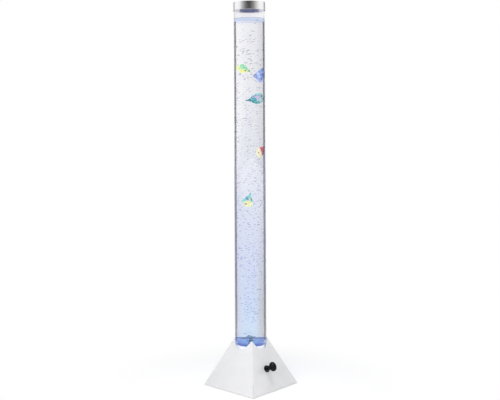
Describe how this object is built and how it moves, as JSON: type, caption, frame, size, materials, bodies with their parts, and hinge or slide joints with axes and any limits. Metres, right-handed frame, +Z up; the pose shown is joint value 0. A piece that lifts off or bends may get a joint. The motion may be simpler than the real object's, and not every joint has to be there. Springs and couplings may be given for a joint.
{
  "type": "bubble fish lamp",
  "caption": "Floor lamp: a tall clear water tube on a white pyramid base with a control knob, lit from below, with bubbles, plastic fish and a satin cap.",
  "frame": {"origin": "on the floor, under the tube's axis, at the middle of the foam pad's underside", "axes": "+Z up the tube; the base's sides lie along X and Y, with the knob on the -Y face and the power inlet on the +Y face"},
  "size_m": [0.2116, 0.2169, 1.22],
  "materials": {
    "white_paint": "gloss white powder coat on folded steel sheet",
    "zinc_plate": "zinc-plated steel, dull",
    "bright_steel": "bright steel",
    "foam": "closed-cell foam, matt black",
    "white_plastic": "white moulding, satin",
    "clear_acrylic": "clear polished acrylic",
    "satin_metal": "turned satin aluminium",
    "black_plastic": "black moulding, satin",
    "circuit_board": "green solder mask",
    "white_board": "white solder mask",
    "led_lens": "clear silicone window over a blue light",
    "silicone_hose": "milky silicone rubber",
    "black_rubber": "moulded black rubber",
    "copper": "enamelled copper winding",
    "iron": "laminated iron and ferrite, dark grey",
    "brass": "machined brass",
    "lead_sleeve": "pale flexible sleeve",
    "green_fish_paint": "green back over a yellow belly, painted plastic",
    "blue_fish_paint": "blue with lavender bands, painted plastic",
    "teal_fish_paint": "teal with violet-grey back, painted plastic",
    "red_fish_paint": "crimson with a pale yellow head, painted plastic",
    "turquoise_fish_paint": "turquoise back over a yellow belly, painted plastic"
  },
  "bodies": {
    "lamp": {"base_shell": "white_paint", "seam_strip": "zinc_plate", "floor_plate": "zinc_plate", "dimmer_pot": "zinc_plate", "corner_screw_1": "bright_steel", "corner_screw_2": "bright_steel", "corner_screw_3": "bright_steel", "corner_screw_4": "bright_steel", "leg_screw_1": "bright_steel", "leg_screw_2": "bright_steel", "leg_screw_3": "bright_steel", "leg_screw_4": "bright_steel", "pump_pivot_pin": "bright_steel", "pot_nut": "bright_steel", "inlet_nut": "bright_steel", "foot_pad": "foam", "pump_cushion": "foam", "tube_socket": "white_plastic", "led_reflector": "white_plastic", "check_valve": "white_plastic", "pump_valve_block": "white_plastic", "acrylic_tube": "clear_acrylic", "water_floor": "clear_acrylic", "air_diffuser": "clear_acrylic", "air_nozzle": "clear_acrylic", "pump_case": "black_plastic", "pump_lid": "black_plastic", "board_tray": "black_plastic", "board_chip": "black_plastic", "knob_bezel": "black_plastic", "power_inlet": "black_plastic", "control_board": "circuit_board", "led_board": "white_board", "led_1": "led_lens", "led_2": "led_lens", "led_3": "led_lens", "led_4": "led_lens", "lower_hose": "silicone_hose", "upper_hose": "silicone_hose", "nozzle_seal": "silicone_hose", "pump_bellows": "black_rubber", "pump_coil": "copper", "pump_core": "iron", "nozzle_nut": "brass", "led_lead": "lead_sleeve", "pump_lead": "lead_sleeve", "dimmer_lead": "lead_sleeve", "inlet_lead": "lead_sleeve"},
    "cap": {"top_cap": "satin_metal", "cap_liner": "white_plastic"},
    "knob": {"control_knob": "black_plastic", "pot_shaft": "bright_steel"},
    "pump_lever": {"pump_arm": "white_plastic", "pump_magnet": "iron"},
    "green_swimmer": {"green_fish": "green_fish_paint"},
    "blue_swimmer": {"blue_fish": "blue_fish_paint"},
    "teal_swimmer": {"teal_fish": "teal_fish_paint"},
    "red_swimmer": {"red_fish": "red_fish_paint"},
    "turquoise_swimmer": {"turquoise_fish": "turquoise_fish_paint"}
  },
  "joints": [
    {"name": "cap_lift", "type": "slide", "parent": "lamp", "child": "cap", "axis": [0, 0, 1], "range_m": [0, 0.06]},
    {"name": "knob_turn", "type": "hinge", "parent": "lamp", "child": "knob", "pos_m": [-0.012, -0.07616, 0.0653], "axis": [0, -0.9072, 0.4208], "range_deg": [-135, 135]},
    {"name": "pump_lever_swing", "type": "hinge", "parent": "lamp", "child": "pump_lever", "pos_m": [-0.0184, -0.0057, 0.0286], "axis": [0, 0, 1], "range_deg": [-1.5, 1.5], "stiffness_Nm_per_rad": 0.5},
    {"name": "green_fish_swim", "type": "slide", "parent": "lamp", "child": "green_swimmer", "axis": [0, 0, 1], "range_m": [-0.836, 0.137]},
    {"name": "blue_fish_swim", "type": "slide", "parent": "lamp", "child": "blue_swimmer", "axis": [0, 0, 1], "range_m": [-0.806, 0.149]},
    {"name": "teal_fish_swim", "type": "slide", "parent": "lamp", "child": "teal_swimmer", "axis": [0, 0, 1], "range_m": [-0.736, 0.229]},
    {"name": "red_fish_swim", "type": "slide", "parent": "lamp", "child": "red_swimmer", "axis": [0, 0, 1], "range_m": [-0.564, 0.399]},
    {"name": "turquoise_fish_swim", "type": "slide", "parent": "lamp", "child": "turquoise_swimmer", "axis": [0, 0, 1], "range_m": [-0.41, 0.545]}
  ]
}
